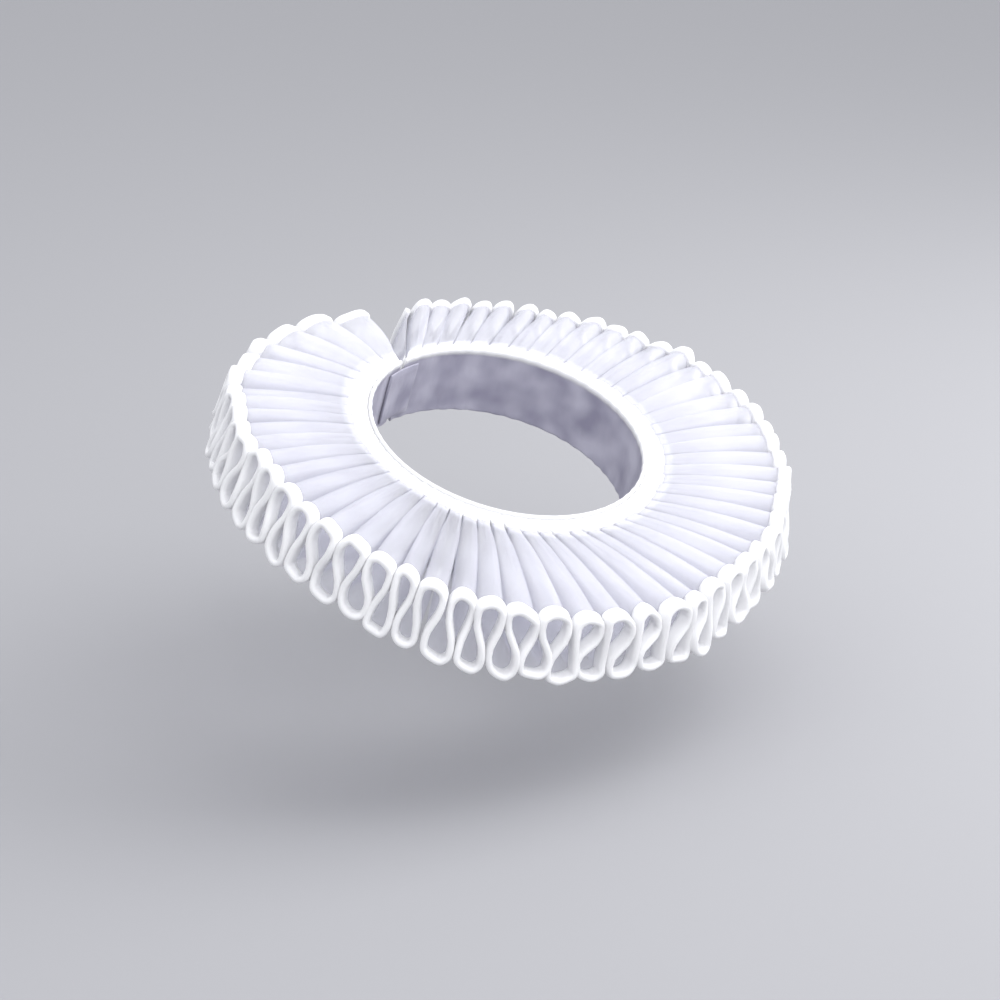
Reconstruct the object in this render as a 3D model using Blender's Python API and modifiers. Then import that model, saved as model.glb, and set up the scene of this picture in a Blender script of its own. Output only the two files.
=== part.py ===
"""Ruff collar: a long satin-edged organza strip set in figure-of-eight waves
and gathered onto a low neckband that closes at the centre back.

Metres, +Z up, the wearer faces -Y.  The origin is the middle of the neck
opening.  Everything is laid out in a level ruff frame (angles from +X,
counter-clockwise from above, +90 degrees at the centre back) and then leaned
forward as it is worn.
"""
import math

import bpy
import bmesh
import numpy as np
from mathutils import Vector

# ---------------------------------------------------------------- sizes
LEAN_FORWARD = math.radians(18.3)

WALL = 0.0010            # cloth wall of the ruffle
BAND_WALL = 0.0012       # cloth wall of the neckband
SEAM = 0.0003            # clearance between pieces that are sewn together
NECK_SEAM = 0.0005       # clearance from the band to the gathered edge

BAND_HALF_X = 0.0762     # inside of the neckband, side to side
BAND_HALF_Y = 0.0706     # inside of the neckband, front to back
BAND_HEIGHT = 0.0380
NECK_SLOPE_X = 0.031     # rise of the neck edge towards +X
NECK_SLOPE_Y = 0.059     # rise of the neck edge towards the back
BAND_START = 95.3        # degrees, band end on the left of the back opening
BAND_END = 452.4         # degrees, band end on the right of the back opening
BAND_SEGMENTS = 96

TAB_MIDDLE = 93.8        # degrees, centre of the lap behind the band ends
TAB_WIDTH = 0.0240
TAB_HEIGHT = 0.0300
TAB_SEGMENTS = 8

GATHER_HEIGHT = 0.0360   # height of the waves where they meet the band

RIM_CENTRE_X = 0.0009
RIM_CENTRE_Y = -0.0016

EDGE_WIDTH = 0.0080      # satin edging along the outer edge
EDGE_WALL = 0.0018       # edging folded over the cut edge of the organza
EDGE_SEAM = 0.0005       # clearance between the organza and its thicker edging
LOOP_LIFT = 0.0009       # unevenness in height from one loop to the next

# Outer face of the ruff, one row every 30 degrees from +X.
# columns: radius along the upper loops (mm), radius along the lower loops (mm),
#          height of the upper loops (mm), drop from upper to lower loops (mm)
RIM_SECTIONS = (
    (160.4, 170.0, 24.0, 31.7),
    (155.2, 164.5, 16.7, 35.9),
    (144.8, 151.5, 11.2, 36.4),
    (139.4, 143.5, 13.0, 32.7),
    (143.8, 146.5, 20.3, 28.5),
    (154.4, 161.0, 25.6, 28.2),
    (160.4, 170.0, 22.0, 29.7),
    (155.2, 164.5, 10.0, 29.2),
    (144.8, 153.5, 4.2, 29.4),
    (140.6, 148.8, 7.0, 26.7),
    (147.0, 154.5, 17.4, 26.1),
    (155.4, 163.0, 24.3, 28.0),
)

# Where each wave begins.  Rows between these are spaced evenly.
# columns: wave number, angle at the neck (deg), angle at the rim (deg),
#          how far the lower loop leans on towards the next wave (in waves)
WAVE_STARTS = (
    (0, 94.7, 72.0, 0.00),
    (1, 101.2, 84.6, 0.00),
    (2, 107.3, 98.0, 0.00),
    (3, 113.4, 110.0, 0.00),
    (5, 125.4, 130.0, 0.00),
    (7, 137.0, 142.6, 0.00),
    (9, 148.4, 152.4, 0.00),
    (11, 159.4, 161.6, 0.10),
    (13, 169.6, 171.5, 0.10),
    (15, 179.4, 181.6, 0.06),
    (18, 193.6, 198.2, 0.00),
    (19, 198.0, 202.4, 0.10),
    (20, 202.4, 207.6, 0.15),
    (22, 211.4, 218.7, 0.06),
    (24, 221.0, 231.7, -0.22),
    (26, 232.0, 245.6, -0.30),
    (28, 243.6, 260.6, -0.28),
    (29, 250.4, 266.0, -0.22),
    (31, 263.8, 278.9, -0.10),
    (34, 283.0, 296.6, 0.00),
    (38, 309.0, 317.9, 0.00),
    (41, 328.2, 333.9, 0.00),
    (44, 345.9, 351.4, 0.00),
    (46, 358.0, 362.6, 0.00),
    (48, 371.5, 372.3, 0.00),
    (51, 394.0, 387.0, 0.00),
    (58, 449.6, 421.0, 0.00),
    (59, 457.6, 426.0, 0.00),
)

# One wave seen from outside, followed up the left strand, over the upper
# loop, down the right strand and round the lower loop towards the next wave.
# columns: across at the neck, up at the neck, across at the rim, up at the rim
# (across 0..1 is one upper loop to the next, up -1..1 is bottom to top)
WAVE_SHAPE = (
    (0.20, 0.86, 0.13, 0.55),
    (0.25, 0.96, 0.17, 0.86),
    (0.42, 1.00, 0.34, 1.00),
    (0.58, 1.00, 0.58, 1.00),
    (0.75, 0.96, 0.79, 0.87),
    (0.80, 0.86, 0.87, 0.55),
    (0.70, -0.86, 0.64, -0.55),
    (0.75, -0.96, 0.73, -0.87),
    (0.92, -1.00, 0.97, -1.00),
    (1.08, -1.00, 1.21, -1.00),
    (1.25, -0.96, 1.34, -0.86),
    (1.30, -0.86, 1.37, -0.55),
)
FIRST_STRAND = (0.29, -0.90, 0.34, -0.90)
LAST_STRAND = (1.21, 0.90, 1.16, 0.90)

# columns: name, colour, roughness, metallic
MATERIALS = {
    "organza": ((0.86, 0.86, 0.90), 0.62, 0.0),
    "satin": ((0.95, 0.95, 0.96), 0.42, 0.0),
    "band_cloth": ((0.80, 0.79, 0.86), 0.48, 0.0),
}


# ---------------------------------------------------------------- scene helpers
def clear_scene():
    for obj in list(bpy.data.objects):
        bpy.data.objects.remove(obj, do_unlink=True)


def make_material(name):
    colour, roughness, metallic = MATERIALS[name]
    material = bpy.data.materials.new(name)
    material.use_nodes = True
    shader = material.node_tree.nodes["Principled BSDF"]
    shader.inputs["Base Color"].default_value = (*colour, 1.0)
    shader.inputs["Roughness"].default_value = roughness
    shader.inputs["Metallic"].default_value = metallic
    material.diffuse_color = (*colour, 1.0)
    return material


def cloth_sheet(name, columns, point_at, wall, offset, material, collection):
    """A sheet with one span across its width, thickened by its wall.

    point_at(column, side) gives each edge point, side 0 or 1.
    """
    mesh = bpy.data.meshes.new(name)
    sheet = bmesh.new()
    bmesh.ops.create_grid(sheet, x_segments=columns - 1, y_segments=1, size=1.0)
    for vert in sheet.verts:
        column = round((vert.co.x + 1.0) / 2.0 * (columns - 1))
        side = round((vert.co.y + 1.0) / 2.0)
        vert.co = lean(point_at(column, side))
    for face in sheet.faces:
        face.smooth = True
    sheet.to_mesh(mesh)
    sheet.free()
    mesh.materials.append(material)
    obj = bpy.data.objects.new(name, mesh)
    collection.objects.link(obj)
    solid = obj.modifiers.new("wall", "SOLIDIFY")
    solid.thickness = wall
    solid.offset = offset
    solid.use_even_offset = True
    solid.use_quality_normals = True
    return obj


# ---------------------------------------------------------------- ruff frame
def lean(point):
    """Lean a point of the level ruff forward as it is worn."""
    x, y, z = point
    cos_lean = math.cos(LEAN_FORWARD)
    sin_lean = math.sin(LEAN_FORWARD)
    return Vector((x, y * cos_lean - z * sin_lean, y * sin_lean + z * cos_lean))


def neck_point(angle, grow, height):
    """A point at the neck: grow is outward from the inside of the band."""
    half_x = BAND_HALF_X + grow
    half_y = BAND_HALF_Y + grow
    cos_a = math.cos(angle)
    sin_a = math.sin(angle)
    radius = half_x * half_y / math.hypot(half_y * cos_a, half_x * sin_a)
    x = radius * cos_a
    y = radius * sin_a
    z = height + NECK_SLOPE_X * x + NECK_SLOPE_Y * y
    return Vector((x, y, z))


def rim_section(angle):
    """Row of RIM_SECTIONS at an angle, smoothly between the rows round it."""
    count = len(RIM_SECTIONS)
    place = angle / (2.0 * math.pi) * count
    first = math.floor(place)
    t = place - first
    p0, p1, p2, p3 = (np.array(RIM_SECTIONS[(first + i) % count]) for i in (-1, 0, 1, 2))
    bend = 2.0 * p0 - 5.0 * p1 + 4.0 * p2 - p3
    twist = 3.0 * (p1 - p2) + p3 - p0
    return 0.5 * (2.0 * p1 + (p2 - p0) * t + bend * t * t + twist * t ** 3) / 1000.0


def rim_point(angle, up):
    """A point on the outer face of the ruff: up is -1 at the lower loops, 1 at the upper."""
    share = (1.0 - up) / 2.0
    top_radius, low_radius, top_height, drop = rim_section(angle)
    radius = top_radius + (low_radius - top_radius) * share
    x = RIM_CENTRE_X + radius * math.cos(angle)
    y = RIM_CENTRE_Y + radius * math.sin(angle)
    return Vector((x, y, top_height - drop * share))


# ---------------------------------------------------------------- the ruffle
def from_wave_table(place, column):
    """A column of WAVE_STARTS at a place counted in waves."""
    table = np.array(WAVE_STARTS)
    return float(np.interp(place, table[:, 0], table[:, column]))


def uneven(wave, phase):
    """A small repeatable unevenness between -1 and 1."""
    return 0.6 * math.sin(1.7 * wave + phase) + 0.4 * math.sin(3.1 * wave + 2.0 * phase)


def ruffle_columns():
    """Neck and rim point of every line across the strip, from end to end."""
    waves = int(WAVE_STARTS[-1][0]) - 1
    rows = [(0, FIRST_STRAND)]
    for wave in range(waves):
        rows += [(wave, shape) for shape in WAVE_SHAPE]
    rows.append((waves - 1, LAST_STRAND))
    columns = []
    for wave, (neck_across, neck_up, rim_across, rim_up) in rows:
        if rim_up < 0.0:
            rim_across += from_wave_table(wave, 3)
        neck_angle = math.radians(from_wave_table(wave + neck_across, 1))
        rim_angle = math.radians(from_wave_table(wave + rim_across, 2))
        gathered = (GATHER_HEIGHT - WALL) / 2.0 * neck_up
        inner = neck_point(neck_angle, BAND_WALL + NECK_SEAM, gathered)
        outer = rim_point(rim_angle, rim_up)
        outer.z += LOOP_LIFT * uneven(wave, 0.0 if rim_up > 0.0 else 1.3) * abs(rim_up)
        columns.append((inner, outer))
    return columns


def build_ruffle(materials, collection):
    columns = ruffle_columns()

    def organza_point(column, side):
        inner, outer = columns[column]
        across = outer - inner
        reach = across.length - EDGE_WIDTH - EDGE_SEAM
        return inner + across.normalized() * (reach * side)

    def edging_point(column, side):
        inner, outer = columns[column]
        across = (outer - inner).normalized()
        return outer - across * (EDGE_WIDTH * (1 - side))

    cloth_sheet("ruffle_organza", len(columns), organza_point, WALL, 0.0,
                materials["organza"], collection)
    cloth_sheet("ruffle_satin_edge", len(columns), edging_point, EDGE_WALL, 0.0,
                materials["satin"], collection)


# ---------------------------------------------------------------- the neckband
def build_neckband(materials, collection):
    def band_point(column, side):
        angle = math.radians(BAND_START + (BAND_END - BAND_START) * column / BAND_SEGMENTS)
        return neck_point(angle, BAND_WALL / 2.0, BAND_HEIGHT * (side - 0.5))

    def tab_point(column, side):
        spread = TAB_WIDTH / BAND_HALF_Y * (column / TAB_SEGMENTS - 0.5)
        angle = math.radians(TAB_MIDDLE) + spread
        grow = -SEAM - BAND_WALL / 2.0
        return neck_point(angle, grow, TAB_HEIGHT * (side - 0.5))

    cloth_sheet("neckband", BAND_SEGMENTS + 1, band_point, BAND_WALL, 0.0,
                materials["band_cloth"], collection)
    cloth_sheet("closure_tab", TAB_SEGMENTS + 1, tab_point, BAND_WALL, 0.0,
                materials["band_cloth"], collection)


def main():
    clear_scene()
    collection = bpy.data.collections.new("ruff_collar")
    bpy.context.scene.collection.children.link(collection)
    materials = {name: make_material(name) for name in MATERIALS}
    build_ruffle(materials, collection)
    build_neckband(materials, collection)


main()
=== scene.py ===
"""Ruff collar: a sheer white ribbon with satin borders, set in figure-of-eight
waves and gathered onto a low neckband that laps at the centre back.

Metres, +Z up, the wearer faces -Y.  Points are laid out in a level ruff frame
(angles from +X, counter-clockwise from above, +90 degrees at the centre back)
and leaned forward as the ruff is worn.
"""
import math

import bmesh
import bpy
import numpy as np
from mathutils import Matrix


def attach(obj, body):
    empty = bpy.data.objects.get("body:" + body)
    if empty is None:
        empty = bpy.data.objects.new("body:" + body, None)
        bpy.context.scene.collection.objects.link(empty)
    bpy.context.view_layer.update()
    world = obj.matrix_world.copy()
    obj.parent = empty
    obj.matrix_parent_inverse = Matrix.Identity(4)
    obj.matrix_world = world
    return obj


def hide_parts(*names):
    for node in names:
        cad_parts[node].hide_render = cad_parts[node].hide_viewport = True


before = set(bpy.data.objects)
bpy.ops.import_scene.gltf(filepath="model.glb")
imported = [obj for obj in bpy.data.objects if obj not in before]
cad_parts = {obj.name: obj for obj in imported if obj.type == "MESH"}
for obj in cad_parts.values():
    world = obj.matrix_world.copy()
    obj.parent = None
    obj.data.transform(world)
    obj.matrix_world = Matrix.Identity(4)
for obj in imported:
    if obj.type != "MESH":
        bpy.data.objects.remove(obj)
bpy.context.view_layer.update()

# ---------------------------------------------------------------- sizes
LEAN_FORWARD = math.radians(18.3)

BAND_WALL = 0.0012
NECK_SEAM = 0.0005       # clearance from the band to the gathered edge
LAP_SEAM = 0.0003        # clearance from the band to the lap behind its ends
BAND_HALF_X = 0.0762     # inside of the neckband, side to side
BAND_HALF_Y = 0.0706     # inside of the neckband, front to back
NECK_SLOPE_X = 0.031     # rise of the neck edge towards +X
NECK_SLOPE_Y = 0.059     # rise of the neck edge towards the back
BAND_START = 95.3        # degrees
BAND_END = 452.4
LAP_MIDDLE = 93.8        # degrees
LAP_WIDTH = 0.0240

GATHER_HEIGHT = 0.0360   # height of the waves where they meet the band
RIM_CENTRE = (0.0009, -0.0016)
RIM_BORDER_WIDTH = 0.0080
RIM_BORDER_WALL = 0.0034
NECK_BORDER_WIDTH = 0.0115
NECK_BORDER_WALL = 0.0008
RIBBON_WALL = 0.00035
BORDER_LAP = 0.0009      # how far the sheer part runs into each border
GATHER_TUCK = 0.0110     # how much a whole tuck narrows the neck border

# How the loops differ from one another.
LOOP_SEED = 58
LOOP_LIMIT = 1.7         # the most that a loop differs, in spreads
LOOP_LIFT = 0.0009       # rise and fall of the loops round the rim, in turn
LOWER_PHASE = 1.3        # sets the lower loops' rise and fall off from the upper ones'
LOOP_RISE = 0.0007       # spread of their heights
LOOP_REACH = 0.0010      # spread of how far out they stand
LOOP_TILT = 0.0032       # spread of their slope from side to side (metres a wave)
LOOP_SHIFT = 0.026       # spread of their places along the rim (waves)
LOOP_WIDENING = 0.06     # spread of their widths at the rim (share)
SLIT_WIDENING = 0.3      # spread of the slits between them (share)
TUCK_DEPTH = 0.1         # spread of the tucks in the neck border (whole tucks)
RIM_WANDER = 0.00030     # spread of the strip's main lines from their even places

# Outer face of the ruff, one row every 30 degrees from +X.
# columns: radius along the upper loops (mm), radius along the lower loops (mm),
#          height of the upper loops (mm), drop from upper to lower loops (mm)
RIM_SECTIONS = (
    (160.4, 170.0, 24.0, 31.7),
    (155.2, 164.5, 16.7, 35.9),
    (144.8, 151.5, 11.2, 36.4),
    (139.4, 143.5, 13.0, 32.7),
    (143.8, 146.5, 20.3, 28.5),
    (154.4, 161.0, 25.6, 28.2),
    (160.4, 170.0, 22.0, 29.7),
    (155.2, 164.5, 10.0, 29.2),
    (144.8, 153.5, 4.2, 29.4),
    (140.6, 148.8, 7.0, 26.7),
    (147.0, 154.5, 17.4, 26.1),
    (155.4, 163.0, 24.3, 28.0),
)

# Where each wave begins.  The waves between two rows are spaced evenly.
# columns: wave number, angle at the neck (deg), angle at the rim (deg),
#          how far the lower loop leans on towards the next wave (in waves)
WAVE_STARTS = np.array((
    (0, 94.7, 72.0, 0.00),
    (1, 101.2, 84.6, 0.00),
    (2, 107.3, 98.0, 0.00),
    (3, 113.4, 110.0, 0.00),
    (5, 125.4, 130.0, 0.00),
    (7, 137.0, 142.6, 0.00),
    (9, 148.4, 152.4, 0.00),
    (11, 159.4, 161.6, 0.10),
    (13, 169.6, 171.5, 0.10),
    (15, 179.4, 181.6, 0.06),
    (18, 193.6, 198.2, 0.00),
    (19, 198.0, 202.4, 0.10),
    (20, 202.4, 207.6, 0.15),
    (22, 211.4, 218.7, 0.06),
    (24, 221.0, 231.7, -0.22),
    (26, 232.0, 245.6, -0.30),
    (28, 243.6, 260.6, -0.28),
    (29, 250.4, 266.0, -0.22),
    (31, 263.8, 278.9, -0.10),
    (34, 283.0, 296.6, 0.00),
    (38, 309.0, 317.9, 0.00),
    (41, 328.2, 333.9, 0.00),
    (44, 345.9, 351.4, 0.00),
    (46, 358.0, 362.6, 0.00),
    (48, 371.5, 372.3, 0.00),
    (51, 394.0, 387.0, 0.00),
    (58, 449.6, 421.0, 0.00),
    (59, 457.6, 426.0, 0.00),
))

# One wave seen from outside, followed up the left strand, over the upper
# loop, down the right strand and round the lower loop towards the next wave.
# columns: across at the neck, up at the neck, across at the rim, up at the rim
WAVE_SHAPE = (
    (0.01, 0.86, 0.12, 0.50),
    (0.03, 0.98, 0.16, 0.82),
    (0.34, 1.00, 0.33, 0.99),
    (0.66, 1.00, 0.60, 0.99),
    (0.97, 0.98, 0.82, 0.84),
    (0.99, 0.86, 0.88, 0.50),
    (0.52, -0.86, 0.62, -0.50),
    (0.55, -0.98, 0.71, -0.84),
    (0.86, -1.00, 0.96, -0.99),
    (1.14, -1.00, 1.21, -0.99),
    (1.45, -0.98, 1.36, -0.83),
    (1.48, -0.86, 1.38, -0.50),
)
FIRST_STRAND = (0.29, -0.90, 0.34, -0.90)   # the strip's two ends, at the back opening
LAST_STRAND = (1.21, 0.90, 1.16, 0.90)

# How the loops change on the way from the neck to the rim.
# columns: share of the way, how far the shape has turned into the rim's (share),
#          width beside that shape, rise above it (mm)
LOOP_SECTIONS = (
    (0.00, 0.00, 1.00, 0.0),
    (0.06, 0.01, 1.00, 0.1),
    (0.10, 0.02, 0.84, 0.2),
    (0.18, 0.05, 0.85, 0.5),
    (0.29, 0.11, 1.03, 0.9),
    (0.60, 0.40, 1.06, 1.3),
    (0.83, 0.72, 1.04, 0.8),
    (1.00, 1.00, 1.00, 0.0),
)

# How far the slits between the loops open just outside the gathers.
# columns: angle at the neck (deg), opening (share)
SLITS = np.array((
    (90.0, 0.5), (150.0, 0.2), (185.0, 0.5), (215.0, 0.9), (245.0, 1.0), (270.0, 0.7),
    (300.0, 0.35), (360.0, 0.15), (450.0, 0.3),
))

# Creases that start at the gathers, four to a wave, taken in turn from these rows.
# columns: place beside the loop's middle (waves), where it starts, where it
#          dies out (shares of the sheer part), depth (mm, up is plus),
#          width (waves), drift sideways on the way out (waves)
LOOP_CREASES = (
    (0.05, 0.00, 0.55, 0.40, 0.050, 0.05),
    (0.14, 0.02, 0.35, -0.50, 0.055, -0.02),
    (0.20, 0.00, 0.80, 0.35, 0.060, -0.06),
    (0.09, 0.05, 0.95, -0.30, 0.050, 0.08),
    (0.17, 0.00, 0.45, 0.55, 0.045, 0.00),
    (0.03, 0.10, 0.70, -0.45, 0.060, 0.03),
    (0.12, 0.00, 0.30, 0.60, 0.045, -0.04),
    (0.22, 0.04, 0.60, -0.35, 0.055, 0.02),
    (0.07, 0.00, 0.90, 0.25, 0.070, 0.06),
    (0.16, 0.15, 0.75, -0.40, 0.050, -0.05),
    (0.11, 0.00, 0.50, 0.45, 0.050, 0.04),
)

CREASE_SKIPS = (7, 5)        # rows stepped over from wave to wave, and from crease to crease
CREASE_ROUND = (2.5, -0.6)   # growth and start of a crease with its height on the loop
CREASE_ONSET = (9.0, 0.15)   # growth and start of a crease on its way out
CREASE_FADE = 0.7            # below 1 a crease stays deep for longer

WAVE_COUNT = int(WAVE_STARTS[-1, 0]) - 1
SPAN_STEPS = 4           # spans from one row of WAVE_SHAPE to the next
RIBBON_ROWS = 15
RIM_STEPS = (3, 4)       # spans over a border's flat side, and round its edge
NECK_STEPS = (7, 2)
NORMAL_STEP = 0.01       # share of the way out on either side where a slope is read

BAND_COLUMNS = 721
BAND_PUCKER = 0.0003     # ripple of the band's edges, from wave to wave
LAP_COLUMNS = 25
LAP_CUT = 0.1            # where the lap lies on the band's cloth, clear of its white edge

# The neckband from its lower edge to the roll along its top, and the plain lap.
# columns: height (mm), half of the wall (mm)
BAND_SECTIONS = (
    (-19.0, 0.0), (-18.9, 0.38), (-18.6, 0.60), (-17.8, 0.72), (-17.0, 0.62), (-14.0, 0.58),
    (-9.0, 0.58), (-4.0, 0.58), (1.0, 0.58), (6.0, 0.58), (11.0, 0.58), (14.5, 0.58),
    (16.2, 0.56), (16.7, 0.74), (17.2, 0.95), (17.9, 1.08), (18.6, 1.00), (19.2, 0.70),
    (19.5, 0.36), (19.6, 0.0),
)
LAP_SECTIONS = (
    (-15.0, 0.0), (-14.9, 0.36), (-14.5, 0.55), (-11.0, 0.60), (-5.0, 0.60), (0.0, 0.60),
    (5.0, 0.60), (11.0, 0.60), (14.5, 0.55), (14.9, 0.36), (15.0, 0.0),
)

# ---------------------------------------------------------------- finishes
ORGANZA_WHITE = (0.91, 0.91, 0.965, 1.0)
SATIN_WHITE = (0.82, 0.82, 0.83, 1.0)
# Painted shade for the neckband: its white satin darkened to lavender grey as if in shadow,
# lighter and darker, mixed in patches that stand for painted satin highlights.
BAND_PAINTED_SHADE_LIGHT = (0.52, 0.51, 0.60, 1.0)
BAND_PAINTED_SHADE_DARK = (0.29, 0.28, 0.37, 1.0)

ORGANZA_GLOW = 0.35      # share of the threads' light that comes through from behind
THREAD_COVER = 0.37      # how far the threads close the cloth (share)
OPEN_COVER = 0.06        # closed between the threads, out in the loops (share)
GATHER_COVER = 0.45      # closed between the threads, at the gathers (share)
COVER_DRIFT = 0.02       # slow change of the two (share)
DRIFT_TURNS = (210.0, 170.0)   # its waves along and across the ribbon (radians a metre)
GATHERS_START = NECK_BORDER_WIDTH - 0.0015
GATHERS_END = NECK_BORDER_WIDTH + 0.0050

EDGE_FULL = 0.0032       # the band is white this far from the middle of its top
EDGE_GONE = 0.0046       # and painted lavender-grey shade from here on

# ---------------------------------------------------------------- studio sizes
CAMERA_LENS = 84.88      # millimetres
CAMERA_PLACE = (-0.92489, -0.69683, 0.39946)
CAMERA_TURN = (70.0, 0.0, -53.0)   # degrees
FLOOR_HEIGHT = -0.125
FLOOR_SIZE = 12.0
FLOOR_GREY = (0.33, 0.33, 0.345, 1.0)
SKY_WHITE = (0.95, 0.96, 1.0, 1.0)
SKY_STRENGTH = 1.18

# columns: name, place, size, watts
LAMPS = (
    ("key", (0.75, -0.6, 0.75), 1.0, 10.5),
    ("fill", (-0.6, -1.5, 0.9), 1.4, 8.0),
    ("top", (0.5, -0.2, 1.9), 1.6, 9.0),
)


# ---------------------------------------------------------------- ruff frame
def lean(points):
    """Lean points of the level ruff forward as it is worn."""
    x, y, z = np.moveaxis(np.asarray(points, dtype=float), -1, 0)
    cos_lean = math.cos(LEAN_FORWARD)
    sin_lean = math.sin(LEAN_FORWARD)
    return np.stack((x, y * cos_lean - z * sin_lean, y * sin_lean + z * cos_lean), axis=-1)


def neck_point(angle, grow, height):
    """A point at the neck: grow is outward from the inside of the band."""
    half_x = BAND_HALF_X + grow
    half_y = BAND_HALF_Y + grow
    cos_a = np.cos(angle)
    sin_a = np.sin(angle)
    radius = half_x * half_y / np.hypot(half_y * cos_a, half_x * sin_a)
    x = radius * cos_a
    y = radius * sin_a
    return np.stack((x, y, height + NECK_SLOPE_X * x + NECK_SLOPE_Y * y), axis=-1)


def rim_section(angle):
    """Row of RIM_SECTIONS at an angle, smoothly between the rows round it."""
    count = len(RIM_SECTIONS)
    place = angle / (2.0 * math.pi) * count
    first = math.floor(place)
    t = place - first
    p0, p1, p2, p3 = (np.array(RIM_SECTIONS[(first + i) % count]) for i in (-1, 0, 1, 2))
    bend = 2.0 * p0 - 5.0 * p1 + 4.0 * p2 - p3
    twist = 3.0 * (p1 - p2) + p3 - p0
    return 0.5 * (2.0 * p1 + (p2 - p0) * t + bend * t * t + twist * t ** 3) / 1000.0


def rim_point(angle, up, reach, lift):
    """A point on the outer face of the ruff, or reach out from it and lift above it:
    up is -1 at the lower loops and 1 at the upper."""
    share = (1.0 - up) / 2.0
    top_radius, low_radius, top_height, drop = rim_section(angle)
    radius = top_radius + (low_radius - top_radius) * share + reach
    x = RIM_CENTRE[0] + radius * math.cos(angle)
    y = RIM_CENTRE[1] + radius * math.sin(angle)
    return np.array((x, y, top_height - drop * share + lift))


def wave_place(place, column):
    """A column of WAVE_STARTS at a place counted in waves."""
    return float(np.interp(place, WAVE_STARTS[:, 0], WAVE_STARTS[:, column]))


def uneven(wave, phase):
    """A small repeatable unevenness between -1 and 1."""
    return 0.6 * math.sin(1.7 * wave + phase) + 0.4 * math.sin(3.1 * wave + 2.0 * phase)


# ---------------------------------------------------------------- the pleated strip
def through(first, last, leaving, arriving, gap, t):
    """A smooth span at shares t of its gap, from its ends and the slopes there."""
    return ((2 * t ** 3 - 3 * t ** 2 + 1) * first
            + (t ** 3 - 2 * t ** 2 + t) * gap * leaving
            + (3 * t ** 2 - 2 * t ** 3) * last
            + (t ** 3 - t ** 2) * gap * arriving)


def smooth_slopes(slopes, gaps):
    """The slope at each point of a line, from the slopes and gaps between its points."""
    before, after = gaps[:-1], gaps[1:]
    middle = (slopes[:-1] * after + slopes[1:] * before) / (before + after)
    return np.concatenate((slopes[:1], middle, slopes[-1:]))


def smooth_line(points):
    """A smooth line through points, with SPAN_STEPS spans from each to the next."""
    gaps = np.linalg.norm(np.diff(points, axis=0), axis=1)[:, None]
    tangents = smooth_slopes(np.diff(points, axis=0) / gaps, gaps)
    t = (np.arange(SPAN_STEPS) / SPAN_STEPS)[None, :, None]
    spans = through(points[:-1, None], points[1:, None],
                    tangents[:-1, None], tangents[1:, None], gaps[:, None], t)
    return np.vstack((spans.reshape(-1, points.shape[1]), points[-1:]))


def pleat_rows():
    """Wave number and shape row of every main line across the strip."""
    rows = [(0, FIRST_STRAND)]
    for wave in range(WAVE_COUNT):
        rows += [(wave, shape) for shape in WAVE_SHAPE]
    rows.append((WAVE_COUNT - 1, LAST_STRAND))
    return rows


def pleat_lines():
    """The strip's line at each of LOOP_SECTIONS, and a guide to its columns: place along
    the strip (waves), height in the wave (-1 to 1) and tuck at the neck (whole tucks)."""
    chance = np.random.default_rng(LOOP_SEED)
    loops = chance.normal(0.0, 1.0, (2, WAVE_COUNT + 1, 6)).clip(-LOOP_LIMIT, LOOP_LIMIT)
    rows = pleat_rows()
    wander = chance.normal(0.0, RIM_WANDER, (len(rows), 3))
    wander = wander.clip(-2.0 * RIM_WANDER, 2.0 * RIM_WANDER)
    lines = [[] for _ in LOOP_SECTIONS]
    guide = []
    for (wave, shape), stray in zip(rows, wander):
        neck_shape, rim_shape = np.array(shape[:2]), np.array(shape[2:])
        upper = rim_shape[1] > 0.0
        wide, shift, lift, reach, tilt, pull = loops[0 if upper else 1, wave]
        middle = 0.5 if upper else 1.0
        lean_on = 0.0 if upper else wave_place(wave, 3)
        rise = LOOP_LIFT * uneven(wave, 0.0 if upper else LOWER_PHASE) * abs(rim_shape[1])
        slit = np.interp(wave_place(wave + middle, 1), SLITS[:, 0], SLITS[:, 1])
        slit *= 1.0 + SLIT_WIDENING * wide
        for line, (share, turned, width, bulge) in zip(lines, LOOP_SECTIONS):
            across, up = neck_shape + (rim_shape - neck_shape) * turned
            if width < 1.0:
                width = 1.0 - (1.0 - width) * slit
            beside = (across - middle) * width
            neck_place = wave + middle + beside
            rim_place = wave + middle + lean_on + LOOP_SHIFT * shift
            rim_place += beside * (1.0 + LOOP_WIDENING * wide * turned)
            inner = neck_point(
                math.radians(wave_place(neck_place, 1)), BAND_WALL + NECK_SEAM,
                (GATHER_HEIGHT - RIBBON_WALL) / 2.0 * up)
            outer = rim_point(
                math.radians(wave_place(rim_place, 2)), up, LOOP_REACH * reach,
                rise + LOOP_RISE * lift + LOOP_TILT * tilt * (across - middle))
            point = inner + (outer + stray - inner) * share
            point[2] += bulge / 1000.0 * up
            line.append(point)
        guide.append((wave + rim_shape[0], rim_shape[1], TUCK_DEPTH * abs(pull)))
    smooth = [smooth_line(np.array(line)) for line in lines]
    return np.stack(smooth, axis=1), smooth_line(np.array(guide))


def along_sections(lines, shares):
    """Points at shares of the way from neck to rim, smoothly through the sections."""
    marks = np.array(LOOP_SECTIONS)[:, 0]
    gaps = np.diff(marks)[:, None, None]
    sections = np.swapaxes(lines, 0, 1)
    tangents = smooth_slopes(np.diff(sections, axis=0) / gaps, gaps)
    first = np.clip(np.searchsorted(marks, shares, side="right") - 1, 0, len(marks) - 2)
    column = np.arange(len(lines))[:, None]
    gap = (marks[first + 1] - marks[first])[..., None]
    t = (shares - marks[first])[..., None] / gap
    return through(sections[first, column], sections[first + 1, column],
                   tangents[first, column], tangents[first + 1, column], gap, t)


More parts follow.
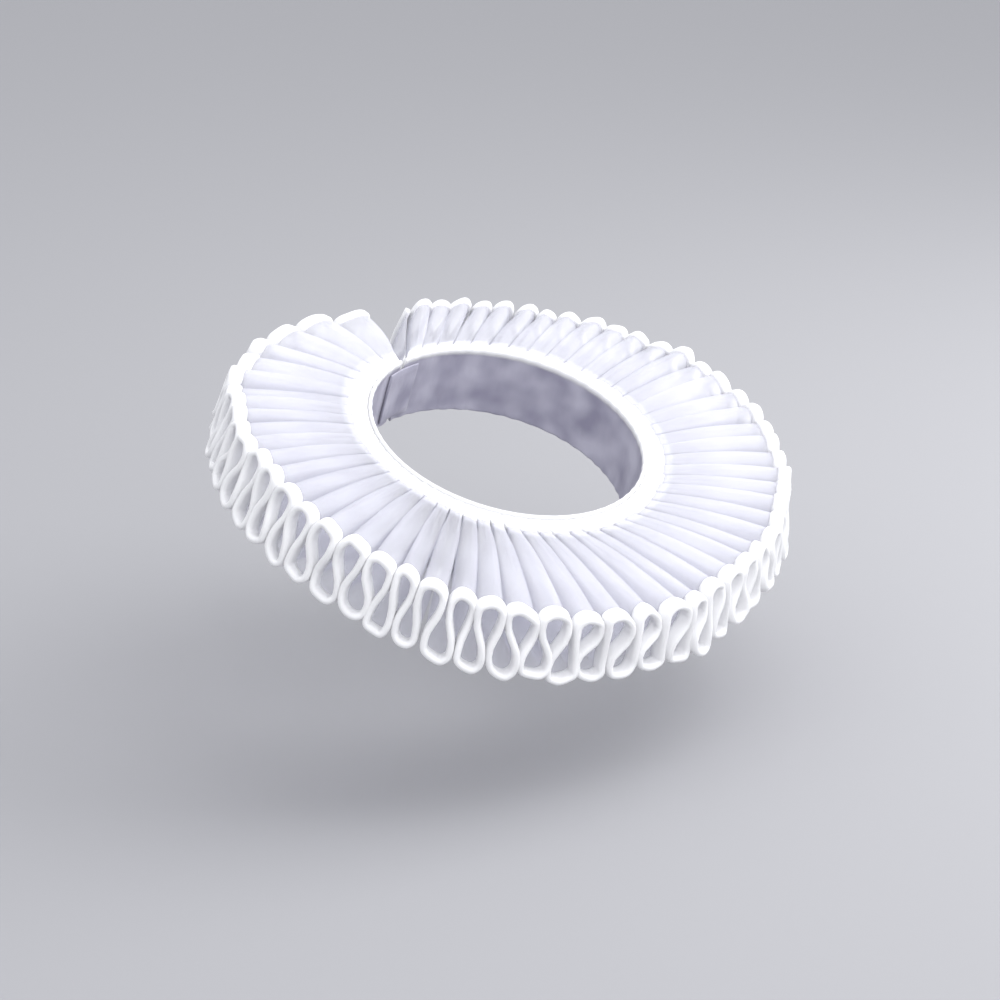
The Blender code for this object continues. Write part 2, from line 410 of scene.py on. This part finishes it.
def strip_normals(lines, shares):
    """Unit outward of the strip at shares of the way from neck to rim."""
    along = np.gradient(along_sections(lines, shares), axis=0)
    outer = along_sections(lines, shares + NORMAL_STEP)
    inner = along_sections(lines, shares - NORMAL_STEP)
    normals = np.cross(along, outer - inner)
    return normals / np.linalg.norm(normals, axis=-1, keepdims=True)


def ramp(value, growth, start):
    """A rise from 0 to 1 with a value."""
    return np.clip(value * growth + start, 0.0, 1.0)


def soft_creases(guide, rows):
    """Height of the creases over the sheer part: one on either side of each loop."""
    place, up = guide[:, :1], guide[:, 1:2]
    height = np.zeros((len(guide), len(rows)))
    for wave in range(WAVE_COUNT):
        for turn in range(4):
            upper = turn < 2
            row = wave * CREASE_SKIPS[0] + turn * CREASE_SKIPS[1]
            side, starts, ends, depth, width, drift = LOOP_CREASES[row % len(LOOP_CREASES)]
            middle = wave + (0.5 if upper else 1.0) + (side if turn % 2 else -side)
            spread = (place - middle - drift * rows) / width
            on_loop = ramp(up if upper else -up, *CREASE_ROUND)
            fade = np.clip((ends - rows) / (ends - starts), 0.0, 1.0) ** CREASE_FADE
            fade *= ramp(rows - starts, *CREASE_ONSET)
            height += depth / 1000.0 * np.exp(-spread ** 2) * on_loop * fade
    return height


# ---------------------------------------------------------------- meshes
def finished_piece(name, shape, material):
    """A bmesh made an object of the scene."""
    mesh = bpy.data.meshes.new(name)
    shape.to_mesh(mesh)
    shape.free()
    mesh.materials.append(material)
    piece = bpy.data.objects.new(name, mesh)
    bpy.context.scene.collection.objects.link(piece)
    return piece


def grid_piece(name, points, uvs, material, tube=False):
    """A cloth piece from a grid of points; a tube closes on its last row and its ends."""
    columns, rows = points.shape[:2]
    cloth = bmesh.new()
    bmesh.ops.create_grid(cloth, x_segments=columns - 1, y_segments=rows - 1, size=1.0)
    layer = cloth.loops.layers.uv.new("cloth")
    place = {}
    for vert in cloth.verts:
        column = round((vert.co.x + 1.0) / 2.0 * (columns - 1))
        row = round((vert.co.y + 1.0) / 2.0 * (rows - 1))
        place[vert] = (column, row)
        vert.co = points[column, row]
    for face in cloth.faces:
        face.smooth = True
        for corner in face.loops:
            corner[layer].uv = uvs[place[corner.vert]]
    if tube:
        bmesh.ops.remove_doubles(cloth, verts=cloth.verts, dist=1e-6)
        ends = [edge for edge in cloth.edges if edge.is_boundary]
        bmesh.ops.holes_fill(cloth, edges=ends, sides=0)
        bmesh.ops.recalc_face_normals(cloth, faces=cloth.faces)
    return finished_piece(name, cloth, material)


def distance_along(line):
    """Distance from a line's first point to each of its points."""
    steps = np.linalg.norm(np.diff(line, axis=0), axis=1)
    return np.concatenate(((0.0,), np.cumsum(steps)))


def rounded_profile(width, wall, flat_steps, round_steps):
    """Across and outward of a flat strip with round edges, closed on its first point."""
    half = wall / 2.0
    points = []
    for i in range(flat_steps):
        points.append((half + (width - wall) * i / flat_steps, half))
    for i in range(round_steps):
        turn = math.pi * i / round_steps
        points.append((width - half + half * math.sin(turn), half * math.cos(turn)))
    for i in range(flat_steps):
        points.append((width - half - (width - wall) * i / flat_steps, -half))
    for i in range(round_steps):
        turn = math.pi * i / round_steps
        points.append((half - half * math.sin(turn), -half * math.cos(turn)))
    points.append(points[0])
    return np.array(points)


def cloth_metres(run, reach):
    """UVs of a grid in the cloth's own metres, along it and across it."""
    return np.stack(np.broadcast_arrays(run[:, None], reach), axis=-1)


# ---------------------------------------------------------------- materials
def shader_group(name, inputs, outputs):
    """An empty node group with its sockets, its input node and its output node."""
    group = bpy.data.node_groups.new(name, "ShaderNodeTree")
    for label, kind, value in inputs:
        socket = group.interface.new_socket(label, in_out="INPUT", socket_type=kind)
        if value is not None:
            socket.default_value = value
    for label, kind in outputs:
        group.interface.new_socket(label, in_out="OUTPUT", socket_type=kind)
    return group, group.nodes.new("NodeGroupInput"), group.nodes.new("NodeGroupOutput")


def maths(tree, operation, first, second=None, third=None):
    """A Math node fed by sockets or numbers; returns its output."""
    node = tree.nodes.new("ShaderNodeMath")
    node.operation = operation
    for socket, value in zip(node.inputs, (first, second, third)):
        if isinstance(value, bpy.types.NodeSocket):
            tree.links.new(value, socket)
        elif value is not None:
            socket.default_value = value
    return node.outputs[0]


def scaled(tree, vector, scale):
    """A vector multiplied axis by axis."""
    node = tree.nodes.new("ShaderNodeVectorMath")
    node.operation = "MULTIPLY"
    tree.links.new(vector, node.inputs[0])
    node.inputs[1].default_value = scale
    return node.outputs[0]


def noise(tree, vector, scale, detail):
    """A Noise Texture on a vector; returns its value."""
    node = tree.nodes.new("ShaderNodeTexNoise")
    node.inputs["Scale"].default_value = scale
    node.inputs["Detail"].default_value = detail
    tree.links.new(vector, node.inputs["Vector"])
    return node.outputs["Fac"]


def make_weave_group():
    """Plain weave on a cloth's own metres: thread height and how far the threads close up."""
    group, given, made = shader_group(
        "plain_weave",
        (("Cloth", "NodeSocketVector", None),
         ("Threads per metre", "NodeSocketFloat", 3000.0)),
        (("Height", "NodeSocketFloat"), ("Cover", "NodeSocketFloat")),
    )
    split = group.nodes.new("ShaderNodeSeparateXYZ")
    group.links.new(given.outputs["Cloth"], split.inputs[0])
    turns = maths(group, "MULTIPLY", given.outputs["Threads per metre"], 2.0 * math.pi)
    warp = maths(group, "SINE", maths(group, "MULTIPLY", split.outputs[0], turns))
    weft = maths(group, "SINE", maths(group, "MULTIPLY", split.outputs[1], turns))
    warp_body = maths(group, "MULTIPLY_ADD", warp, 0.5, 0.5)
    weft_body = maths(group, "MULTIPLY_ADD", weft, 0.5, 0.5)
    cover = maths(group, "MAXIMUM", warp_body, weft_body)
    over = maths(group, "MULTIPLY_ADD", maths(group, "MULTIPLY", warp, weft), 0.3, 0.7)
    group.links.new(maths(group, "MULTIPLY", cover, over), made.inputs["Height"])
    group.links.new(cover, made.inputs["Cover"])
    return group


def make_slub_group():
    """Long thick and thin places in the threads, along both directions of a cloth."""
    group, given, made = shader_group(
        "slub",
        (("Cloth", "NodeSocketVector", None),
         ("Amount", "NodeSocketFloat", 0.3)),
        (("Height", "NodeSocketFloat"),),
    )
    along = scaled(group, given.outputs["Cloth"], (1.0, 26.0, 1.0))
    across = scaled(group, given.outputs["Cloth"], (26.0, 1.0, 1.0))
    along = noise(group, along, scale=60.0, detail=1.0)
    across = noise(group, across, scale=60.0, detail=1.0)
    slub = maths(group, "SUBTRACT", maths(group, "MAXIMUM", along, across), 0.5)
    group.links.new(maths(group, "MULTIPLY", slub, given.outputs["Amount"]), made.inputs["Height"])
    return group


def make_painted_mottle_group():
    """Patches of painted shade and painted highlight over a cloth, between a lighter and a darker
    shade.
    """
    group, given, made = shader_group(
        "painted_shade_mottle",
        (("Cloth", "NodeSocketVector", None),
         ("Light", "NodeSocketColor", (1.0, 1.0, 1.0, 1.0)),
         ("Shade", "NodeSocketColor", (0.9, 0.9, 0.95, 1.0)),
         ("Patches per metre", "NodeSocketFloat", 60.0)),
        (("Color", "NodeSocketColor"),),
    )
    patches = group.nodes.new("ShaderNodeTexNoise")
    patches.inputs["Detail"].default_value = 1.5
    group.links.new(given.outputs["Cloth"], patches.inputs["Vector"])
    group.links.new(given.outputs["Patches per metre"], patches.inputs["Scale"])
    spread = group.nodes.new("ShaderNodeMapRange")
    spread.inputs["From Min"].default_value = 0.32
    spread.inputs["From Max"].default_value = 0.68
    group.links.new(patches.outputs["Fac"], spread.inputs["Value"])
    blend = group.nodes.new("ShaderNodeMix")
    blend.data_type = "RGBA"
    group.links.new(spread.outputs["Result"], blend.inputs["Factor"])
    group.links.new(given.outputs["Light"], blend.inputs["A"])
    group.links.new(given.outputs["Shade"], blend.inputs["B"])
    group.links.new(blend.outputs["Result"], made.inputs["Color"])
    return group


class Finish:
    """A cloth material under way: its tree, its shader and the cloth's own metres."""

    def __init__(self, name, roughness, sheen):
        self.material = bpy.data.materials.new(name)
        self.material.use_nodes = True
        self.tree = self.material.node_tree
        self.shader = self.tree.nodes["Principled BSDF"]
        self.shader.inputs["Roughness"].default_value = roughness
        self.shader.inputs["Sheen Weight"].default_value = sheen
        self.shader.inputs["Sheen Roughness"].default_value = 0.4
        self.shader.inputs["Specular IOR Level"].default_value = 0.35
        self.cloth = self.tree.nodes.new("ShaderNodeTexCoord").outputs["UV"]

    def group(self, group, **values):
        """Place a node group on the cloth, with its own values."""
        node = self.tree.nodes.new("ShaderNodeGroup")
        node.node_tree = group
        self.tree.links.new(self.cloth, node.inputs["Cloth"])
        for label, value in values.items():
            node.inputs[label.replace("_", " ")].default_value = value
        return node

    def bump(self, height, distance, strength):
        """Raise the surface by a height, up to a distance in metres."""
        node = self.tree.nodes.new("ShaderNodeBump")
        node.inputs["Distance"].default_value = distance
        node.inputs["Strength"].default_value = strength
        self.tree.links.new(height, node.inputs["Height"])
        self.tree.links.new(node.outputs["Normal"], self.shader.inputs["Normal"])


def make_organza(weave):
    """Sheer cloth: open between its threads, which pass on part of the light behind them,
    and denser where the gathers crowd it."""
    finish = Finish("sheer_organza", roughness=0.55, sheen=0.0)
    tree = finish.tree
    finish.shader.inputs["Base Color"].default_value = ORGANZA_WHITE
    lit_through = tree.nodes.new("ShaderNodeBsdfTranslucent")
    lit_through.inputs["Color"].default_value = ORGANZA_WHITE
    cloth = tree.nodes.new("ShaderNodeMixShader")
    cloth.inputs[0].default_value = ORGANZA_GLOW
    tree.links.new(finish.shader.outputs[0], cloth.inputs[1])
    tree.links.new(lit_through.outputs[0], cloth.inputs[2])

    split = tree.nodes.new("ShaderNodeSeparateXYZ")
    tree.links.new(finish.cloth, split.inputs[0])
    along = maths(tree, "SINE", maths(tree, "MULTIPLY", split.outputs[0], DRIFT_TURNS[0]))
    across = maths(tree, "MULTIPLY_ADD", split.outputs[1], DRIFT_TURNS[1], along)
    drift = maths(tree, "SINE", across)
    gathers = tree.nodes.new("ShaderNodeMapRange")
    gathers.interpolation_type = "SMOOTHSTEP"
    gathers.inputs["From Min"].default_value = GATHERS_END
    gathers.inputs["From Max"].default_value = GATHERS_START
    gathers.inputs["To Min"].default_value = OPEN_COVER
    gathers.inputs["To Max"].default_value = GATHER_COVER
    tree.links.new(split.outputs[1], gathers.inputs["Value"])
    closed = maths(tree, "MULTIPLY_ADD", drift, COVER_DRIFT, gathers.outputs["Result"])
    threads = finish.group(weave, Threads_per_metre=3000.0)
    cover = maths(tree, "MULTIPLY_ADD", threads.outputs["Cover"], THREAD_COVER, closed)
    sheer = tree.nodes.new("ShaderNodeMixShader")
    tree.links.new(cover, sheer.inputs[0])
    holes = tree.nodes.new("ShaderNodeBsdfTransparent")
    tree.links.new(holes.outputs[0], sheer.inputs[1])
    tree.links.new(cloth.outputs[0], sheer.inputs[2])
    tree.links.new(sheer.outputs[0], tree.nodes["Material Output"].inputs["Surface"])
    return finish.material


def make_satin(weave):
    """The ribbon's woven borders."""
    finish = Finish("satin_border", roughness=0.38, sheen=0.15)
    threads = finish.group(weave, Threads_per_metre=2200.0)
    finish.shader.inputs["Base Color"].default_value = SATIN_WHITE
    finish.bump(threads.outputs["Height"], distance=0.00012, strength=0.5)
    return finish.material


def make_band_cloth(weave, slub, painted_mottle):
    """Painted lavender-grey shade inside and out, mottled with painted highlights, with the white
    of the borders along the rolled top.
    """
    finish = Finish("band_satin", roughness=0.36, sheen=0.2)
    tree = finish.tree
    threads = finish.group(weave, Threads_per_metre=2000.0)
    slubs = finish.group(slub, Amount=0.4)
    # painted lavender-grey shade, in patches that stand for painted satin highlights
    painted_shade = finish.group(painted_mottle, Light=BAND_PAINTED_SHADE_LIGHT, Shade=BAND_PAINTED_SHADE_DARK, Patches_per_metre=52.0)
    split = tree.nodes.new("ShaderNodeSeparateXYZ")
    tree.links.new(finish.cloth, split.inputs[0])
    top = distance_along(np.array(BAND_SECTIONS) / 1000.0)[-1]
    from_top = maths(tree, "ABSOLUTE", maths(tree, "SUBTRACT", split.outputs[1], float(top)))
    edge = tree.nodes.new("ShaderNodeMapRange")
    edge.inputs["From Min"].default_value = EDGE_GONE
    edge.inputs["From Max"].default_value = EDGE_FULL
    tree.links.new(from_top, edge.inputs["Value"])
    blend = tree.nodes.new("ShaderNodeMix")
    blend.data_type = "RGBA"
    tree.links.new(edge.outputs["Result"], blend.inputs["Factor"])
    tree.links.new(painted_shade.outputs["Color"], blend.inputs["A"])
    blend.inputs["B"].default_value = SATIN_WHITE
    tree.links.new(blend.outputs["Result"], finish.shader.inputs["Base Color"])
    ripples = noise(tree, scaled(tree, finish.cloth, (1.0, 0.45, 1.0)), scale=90.0, detail=2.0)
    body = maths(tree, "ADD", threads.outputs["Height"], slubs.outputs["Height"])
    surface = maths(tree, "MULTIPLY_ADD", body, 0.08, ripples)
    finish.bump(surface, distance=0.0022, strength=0.7)
    return finish.material


# ---------------------------------------------------------------- ruffle
def make_ribbon(lines, guide, length, starts, ends, material):
    """The sheer part of the strip, from its starts to its ends out from the neck."""
    rows = np.linspace(0.0, 1.0, RIBBON_ROWS)
    reach = starts[:, None] + (ends - starts)[:, None] * rows
    shares = reach / length[:, None]
    creases = soft_creases(guide, rows)[..., None]
    points = along_sections(lines, shares) + strip_normals(lines, shares) * creases
    run = distance_along(lines.mean(axis=1))
    ribbon = grid_piece("ruffle_ribbon", lean(points), cloth_metres(run, reach), material)
    wall = ribbon.modifiers.new("wall", "SOLIDIFY")
    wall.thickness = RIBBON_WALL
    wall.offset = 0.0
    return ribbon


def make_border(name, lines, length, starts, widths, profile, material):
    """A satin border along one edge of the strip, from its starts out from the neck."""
    across, outward = profile.T
    reach = starts[:, None] + across * (widths / across.max())[:, None]
    shares = reach / length[:, None]
    middles = along_sections(lines, shares)
    points = middles + strip_normals(lines, shares) * outward[:, None]
    uvs = cloth_metres(distance_along(middles[:, 0]), distance_along(profile))
    return grid_piece(name, lean(points), uvs, material, tube=True)


def make_ruffle(organza, satin):
    """The pleated strip: its sheer part with a border along each edge."""
    lines, guide = pleat_lines()
    length = np.linalg.norm(np.diff(lines, axis=1), axis=2).sum(axis=1)
    neck_starts = np.zeros_like(length)
    neck_widths = NECK_BORDER_WIDTH - GATHER_TUCK * guide[:, 2]
    rim_widths = np.full_like(length, RIM_BORDER_WIDTH)
    rim_starts = length - rim_widths
    ribbon = make_ribbon(
        lines, guide, length, neck_widths - BORDER_LAP, rim_starts + BORDER_LAP, organza)
    profile = rounded_profile(RIM_BORDER_WIDTH, RIM_BORDER_WALL, *RIM_STEPS)
    rim_border = make_border(
        "ruffle_rim_border", lines, length, rim_starts, rim_widths, profile, satin)
    profile = rounded_profile(neck_widths.max(), NECK_BORDER_WALL, *NECK_STEPS)
    neck_border = make_border(
        "ruffle_neck_border", lines, length, neck_starts, neck_widths, profile, satin)
    return ribbon, rim_border, neck_border


# ---------------------------------------------------------------- neckband
def band_strip(name, angles, grow, sections, material, pucker=0.0, cut_from=0.0):
    """A standing band that follows the neck, from its rows of height and half wall.
    Its edges ripple with the waves by pucker; cut_from is its place on the cloth."""
    sections = np.array(sections) / 1000.0
    up = np.concatenate((sections[:, 0], sections[-2::-1, 0]))
    out = np.concatenate((sections[:, 1], -sections[-2::-1, 1]))
    waves = np.interp(np.degrees(angles), WAVE_STARTS[:, 1], WAVE_STARTS[:, 0])
    ripple = np.cos(2.0 * math.pi * waves) + 0.4 * np.sin(2.6 * math.pi * waves)
    near_edge = np.clip(np.abs(up) / up.max() - 0.3, 0.0, 1.0) ** 2
    shift = pucker * ripple[:, None] * near_edge
    points = neck_point(angles[:, None], grow + out + shift, up + 0.6 * shift)
    run = distance_along(neck_point(angles, grow, 0.0))
    uvs = cloth_metres(run, cut_from + distance_along(np.stack((up, out), axis=-1)))
    return grid_piece(name, lean(points), uvs, material, tube=True)


def make_neckband(cloth):
    """The band, and the lap behind its two ends."""
    angles = np.radians(np.linspace(BAND_START, BAND_END, BAND_COLUMNS))
    band = band_strip(
        "neckband_cloth", angles, BAND_WALL / 2.0, BAND_SECTIONS, cloth, pucker=BAND_PUCKER)
    half = LAP_WIDTH / BAND_HALF_Y / 2.0
    angles = math.radians(LAP_MIDDLE) + np.linspace(-half, half, LAP_COLUMNS)
    lap = band_strip(
        "closure_lap", angles, -LAP_SEAM - BAND_WALL / 2.0, LAP_SECTIONS, cloth, cut_from=LAP_CUT)
    return band, lap


# ---------------------------------------------------------------- studio
def make_camera():
    camera_data = bpy.data.cameras.new("camera")
    camera_data.lens = CAMERA_LENS
    camera_data.clip_end = 60.0
    camera = bpy.data.objects.new("camera", camera_data)
    camera.location = CAMERA_PLACE
    camera.rotation_euler = [math.radians(turn) for turn in CAMERA_TURN]
    bpy.context.scene.collection.objects.link(camera)
    bpy.context.scene.camera = camera


def make_floor():
    material = bpy.data.materials.new("floor")
    material.use_nodes = True
    shader = material.node_tree.nodes["Principled BSDF"]
    shader.inputs["Base Color"].default_value = FLOOR_GREY
    shader.inputs["Roughness"].default_value = 0.9
    ground = bmesh.new()
    bmesh.ops.create_grid(ground, x_segments=1, y_segments=1, size=FLOOR_SIZE)
    bmesh.ops.translate(ground, verts=ground.verts, vec=(0.0, 0.0, FLOOR_HEIGHT))
    finished_piece("floor", ground, material)


def make_lights():
    """Soft lamps that face the ruff, a pale sky, and enough bounces for the sheer layers."""
    for name, place, size, watts in LAMPS:
        lamp = bpy.data.lights.new(name, "AREA")
        lamp.size = size
        lamp.energy = watts
        light = bpy.data.objects.new(name, lamp)
        light.location = place
        light.rotation_euler = (-light.location).to_track_quat("-Z", "Y").to_euler()
        bpy.context.scene.collection.objects.link(light)
    world = bpy.data.worlds.new("studio")
    world.use_nodes = True
    sky = world.node_tree.nodes["Background"]
    sky.inputs["Color"].default_value = SKY_WHITE
    sky.inputs["Strength"].default_value = SKY_STRENGTH
    scene = bpy.context.scene
    scene.world = world
    scene.view_settings.view_transform = "Standard"
    scene.cycles.transparent_max_bounces = 14
    scene.cycles.diffuse_bounces = 4
    scene.cycles.glossy_bounces = 1
    scene.cycles.transmission_bounces = 4


# ---------------------------------------------------------------- assembly
make_camera()
make_floor()
make_lights()
weave = make_weave_group()
organza = make_organza(weave)
satin = make_satin(weave)
band_cloth = make_band_cloth(weave, make_slub_group(), make_painted_mottle_group())

ribbon, rim_border, neck_border = make_ruffle(organza, satin)
band, lap = make_neckband(band_cloth)

for piece, node, slot in (
    (ribbon, "ruffle_organza", "organza"),
    (neck_border, "ruffle_organza", "satin"),
    (rim_border, "ruffle_satin_edge", "satin"),
    (band, "neckband", "band_cloth"),
    (lap, "closure_tab", "band_cloth"),
):
    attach(piece, "root")
    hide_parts(node)
